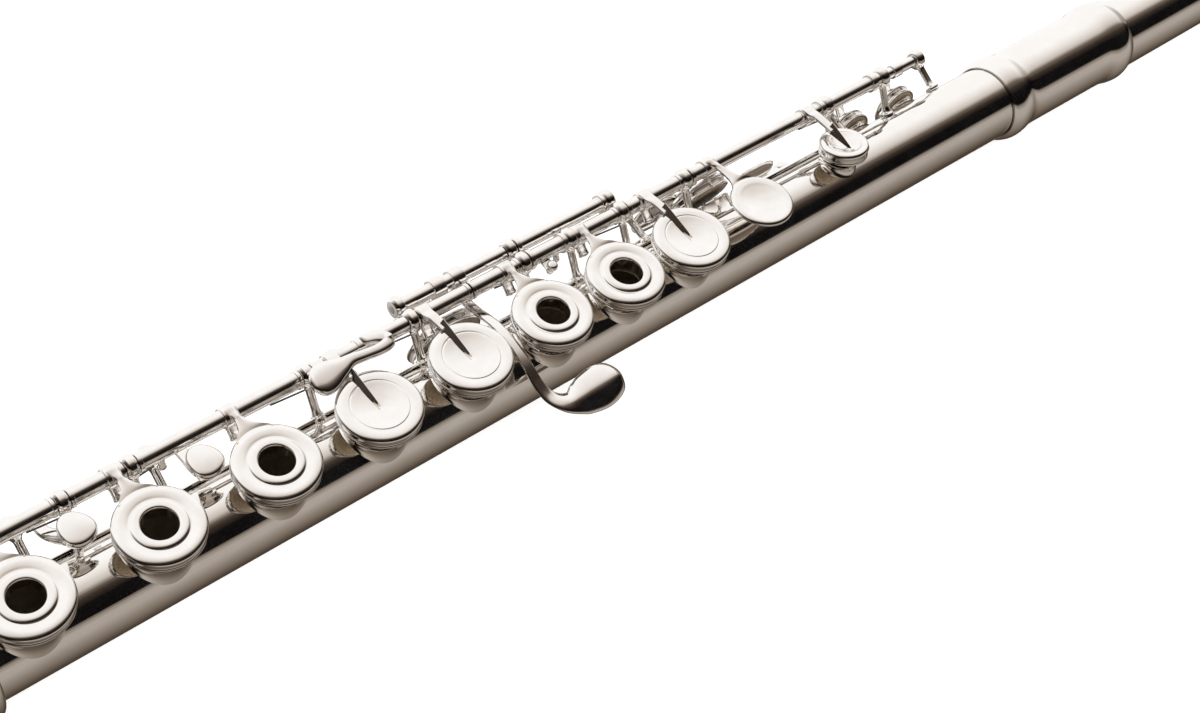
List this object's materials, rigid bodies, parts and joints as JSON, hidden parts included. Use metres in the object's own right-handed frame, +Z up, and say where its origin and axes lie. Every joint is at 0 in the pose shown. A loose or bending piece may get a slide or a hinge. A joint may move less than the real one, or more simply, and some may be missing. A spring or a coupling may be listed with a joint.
{
  "type": "concert flute",
  "caption": "Silver concert flute in three joints with hinged open-hole keys, trill keys, a split E lever and a C foot; played across the lip plate.",
  "frame": {"origin": "on the level of the flute's lowest ring, under the middle of its length", "axes": "+X along the bore to the crown, +Z up over the key tops, +Y towards the player"},
  "size_m": [0.6661, 0.0506, 0.0352],
  "materials": {
    "silver": "polished silver",
    "steel": "polished steel rod",
    "pad_skin": "felt under a thin skin",
    "cork": "natural cork"
  },
  "bodies": {
    "body": {"body_tube": "silver", "barrel": "silver", "rib_upper": "silver", "rib_middle": "silver", "rib_lower": "silver", "end_post": "silver", "trill_end_post": "silver", "thumb_rib": "silver", "rod_sleeve": "silver", "steel_upper": "steel", "steel_lower": "steel", "steel_rear": "steel", "steel_thumb": "steel"},
    "head": {"head_tube": "silver", "lip_plate": "silver", "embouchure_riser": "silver"},
    "crown": {"crown": "silver"},
    "stopper": {"stopper_screw": "silver", "stopper_cork": "cork"},
    "foot": {"foot_tube": "silver", "foot_rib": "silver", "steel_foot": "steel"},
    "key_bb": {"key_bb": "silver", "pad_bb": "pad_skin"},
    "key_a": {"key_a": "silver", "pad_a": "pad_skin"},
    "key_g": {"key_g": "silver", "pad_g": "pad_skin"},
    "key_lower_g": {"key_lower_g": "silver", "pad_lower_g": "pad_skin"},
    "key_f_sharp": {"key_f_sharp": "silver", "pad_f_sharp": "pad_skin"},
    "key_f": {"key_f": "silver", "pad_f": "pad_skin"},
    "key_e": {"key_e": "silver", "pad_e": "pad_skin"},
    "key_d": {"key_d": "silver", "pad_d": "pad_skin"},
    "key_c_sharp": {"key_c_sharp": "silver", "pad_c_sharp": "pad_skin"},
    "bb_bridge": {"bb_bridge": "silver"},
    "split_e_lever": {"split_e_lever": "silver"},
    "key_bb_lever": {"key_bb_lever": "silver"},
    "key_g_sharp": {"key_g_sharp": "silver", "pad_g_sharp": "pad_skin"},
    "key_trill_d": {"key_trill_d": "silver", "pad_trill_d": "pad_skin"},
    "key_trill_ds": {"key_trill_ds": "silver", "pad_trill_ds": "pad_skin"},
    "key_thumb_b": {"key_thumb_b": "silver", "pad_thumb_b": "pad_skin"},
    "thumb_bb_lever": {"thumb_bb_lever": "silver"},
    "key_foot_ds": {"key_foot_ds": "silver", "pad_foot_ds": "pad_skin"},
    "key_low_cs": {"key_low_cs": "silver", "pad_low_cs": "pad_skin"},
    "key_low_c": {"key_low_c": "silver", "pad_low_c": "pad_skin"},
    "roller_low_cs": {"roller_low_cs": "silver"},
    "roller_low_c": {"roller_low_c": "silver"}
  },
  "joints": [
    {"name": "tuning_slide", "type": "slide", "parent": "body", "child": "head", "axis": [1, 0, 0], "range_m": [0, 0.012]},
    {"name": "crown_turn", "type": "hinge", "parent": "head", "child": "crown", "pos_m": [0.3199, 0, 0.0124], "axis": [1, 0, 0], "range_deg": [-720, 720]},
    {"name": "stopper_slide", "type": "slide", "parent": "head", "child": "stopper", "axis": [1, 0, 0], "range_m": [-0.0017, 0.0017]},
    {"name": "foot_swivel", "type": "hinge", "parent": "body", "child": "foot", "pos_m": [-0.2151, 0, 0.0124], "axis": [1, 0, 0], "range_deg": [-25, 25]},
    {"name": "key_bb", "type": "hinge", "parent": "body", "child": "key_bb", "pos_m": [-0.02284, 0.0157, 0.0252], "axis": [1, 0, 0], "range_deg": [0, 9], "stiffness_Nm_per_rad": 0.02, "springref_deg": -17.19},
    {"name": "key_a", "type": "hinge", "parent": "body", "child": "key_a", "pos_m": [-0.04361, 0.0157, 0.0252], "axis": [1, 0, 0], "range_deg": [0, 9], "stiffness_Nm_per_rad": 0.02, "springref_deg": -17.19},
    {"name": "key_g", "type": "hinge", "parent": "body", "child": "key_g", "pos_m": [-0.06561, 0.0157, 0.0252], "axis": [1, 0, 0], "range_deg": [0, 9], "stiffness_Nm_per_rad": 0.02, "springref_deg": -17.19},
    {"name": "key_lower_g", "type": "hinge", "parent": "body", "child": "key_lower_g", "pos_m": [-0.08892, 0.0157, 0.0252], "axis": [1, 0, 0], "range_deg": [0, 9], "stiffness_Nm_per_rad": 0.02, "springref_deg": -17.19},
    {"name": "key_f_sharp", "type": "hinge", "parent": "body", "child": "key_f_sharp", "pos_m": [-0.11362, 0.0157, 0.0252], "axis": [1, 0, 0], "range_deg": [0, 9], "stiffness_Nm_per_rad": 0.02, "springref_deg": -17.19},
    {"name": "key_f", "type": "hinge", "parent": "body", "child": "key_f", "pos_m": [-0.13978, 0.0157, 0.0252], "axis": [1, 0, 0], "range_deg": [0, 9], "stiffness_Nm_per_rad": 0.02, "springref_deg": -17.19},
    {"name": "key_e", "type": "hinge", "parent": "body", "child": "key_e", "pos_m": [-0.1675, 0.0157, 0.0252], "axis": [1, 0, 0], "range_deg": [0, 9], "stiffness_Nm_per_rad": 0.02, "springref_deg": -17.19},
    {"name": "key_d", "type": "hinge", "parent": "body", "child": "key_d", "pos_m": [-0.19687, 0.0157, 0.0252], "axis": [1, 0, 0], "range_deg": [0, 9], "stiffness_Nm_per_rad": 0.02, "springref_deg": -17.19},
    {"name": "key_c_sharp", "type": "hinge", "parent": "body", "child": "key_c_sharp", "pos_m": [0.0324, 0.0157, 0.0252], "axis": [1, 0, 0], "range_deg": [0, 9], "stiffness_Nm_per_rad": 0.02, "springref_deg": -17.19},
    {"name": "bb_bridge", "type": "hinge", "parent": "body", "child": "bb_bridge", "pos_m": [-0.0551, 0.0157, 0.0252], "axis": [1, 0, 0], "range_deg": [0, 9]},
    {"name": "split_e_lever", "type": "hinge", "parent": "body", "child": "split_e_lever", "pos_m": [-0.0451, 0.0205, 0.0239], "axis": [1, 0, 0], "range_deg": [0, 9]},
    {"name": "key_bb_lever", "type": "hinge", "parent": "body", "child": "key_bb_lever", "pos_m": [-0.1001, 0.0157, 0.0252], "axis": [1, 0, 0], "range_deg": [0, 6], "stiffness_Nm_per_rad": 0.02, "springref_deg": -17.19},
    {"name": "key_g_sharp", "type": "hinge", "parent": "body", "child": "key_g_sharp", "pos_m": [-0.08892, 0.0205, 0.0239], "axis": [1, 0, 0], "range_deg": [0, 7.5], "stiffness_Nm_per_rad": 0.02, "springref_deg": -17.19},
    {"name": "key_trill_d", "type": "hinge", "parent": "body", "child": "key_trill_d", "pos_m": [0.0534, 0.0183, 0.0182], "axis": [1, 0, 0], "range_deg": [0, 7], "stiffness_Nm_per_rad": 0.02, "springref_deg": -17.19},
    {"name": "key_trill_ds", "type": "hinge", "parent": "body", "child": "key_trill_ds", "pos_m": [0.0714, 0.0183, 0.0182], "axis": [1, 0, 0], "range_deg": [0, 7], "stiffness_Nm_per_rad": 0.02, "springref_deg": -17.19},
    {"name": "key_thumb_b", "type": "hinge", "parent": "body", "child": "key_thumb_b", "pos_m": [-0.00324, 0.0132, 0.0036], "axis": [1, 0, 0], "range_deg": [0, 5], "stiffness_Nm_per_rad": 0.02, "springref_deg": -17.19},
    {"name": "thumb_bb_lever", "type": "hinge", "parent": "body", "child": "thumb_bb_lever", "pos_m": [0.0199, 0.0132, 0.0036], "axis": [1, 0, 0], "range_deg": [0, 5], "stiffness_Nm_per_rad": 0.02, "springref_deg": -17.19},
    {"name": "key_foot_ds", "type": "hinge", "parent": "foot", "child": "key_foot_ds", "pos_m": [-0.23149, -0.0155, 0.0224], "axis": [1, 0, 0], "range_deg": [0, 9], "stiffness_Nm_per_rad": 0.02, "springref_deg": -17.19},
    {"name": "key_low_cs", "type": "hinge", "parent": "foot", "child": "key_low_cs", "pos_m": [-0.26095, -0.0155, 0.0224], "axis": [-1, 0, 0], "range_deg": [0, 9], "stiffness_Nm_per_rad": 0.02, "springref_deg": -17.19},
    {"name": "key_low_c", "type": "hinge", "parent": "foot", "child": "key_low_c", "pos_m": [-0.29588, -0.0155, 0.0224], "axis": [-1, 0, 0], "range_deg": [0, 9], "stiffness_Nm_per_rad": 0.02, "springref_deg": -17.19},
    {"name": "roller_low_cs", "type": "hinge", "parent": "key_low_cs", "child": "roller_low_cs", "pos_m": [-0.24622, -0.00502, 0.03165], "axis": [1, 0, 0], "continuous": true},
    {"name": "roller_low_c", "type": "hinge", "parent": "key_low_c", "child": "roller_low_c", "pos_m": [-0.24622, -0.01102, 0.03374], "axis": [1, 0, 0], "continuous": true}
  ],
  "couplings": [
    {"joint": "stopper_slide", "follows": "crown_turn", "m_per_rad": 0.00012732},
    {"joint": "key_bb", "follows": "key_a", "ratio": 1},
    {"joint": "key_lower_g", "follows": "key_g", "ratio": 1},
    {"joint": "key_f_sharp", "follows": "key_f", "ratio": 1},
    {"joint": "bb_bridge", "follows": "key_f", "ratio": 1},
    {"joint": "split_e_lever", "follows": "key_e", "ratio": 1},
    {"joint": "thumb_bb_lever", "follows": "key_thumb_b", "ratio": 1}
  ]
}
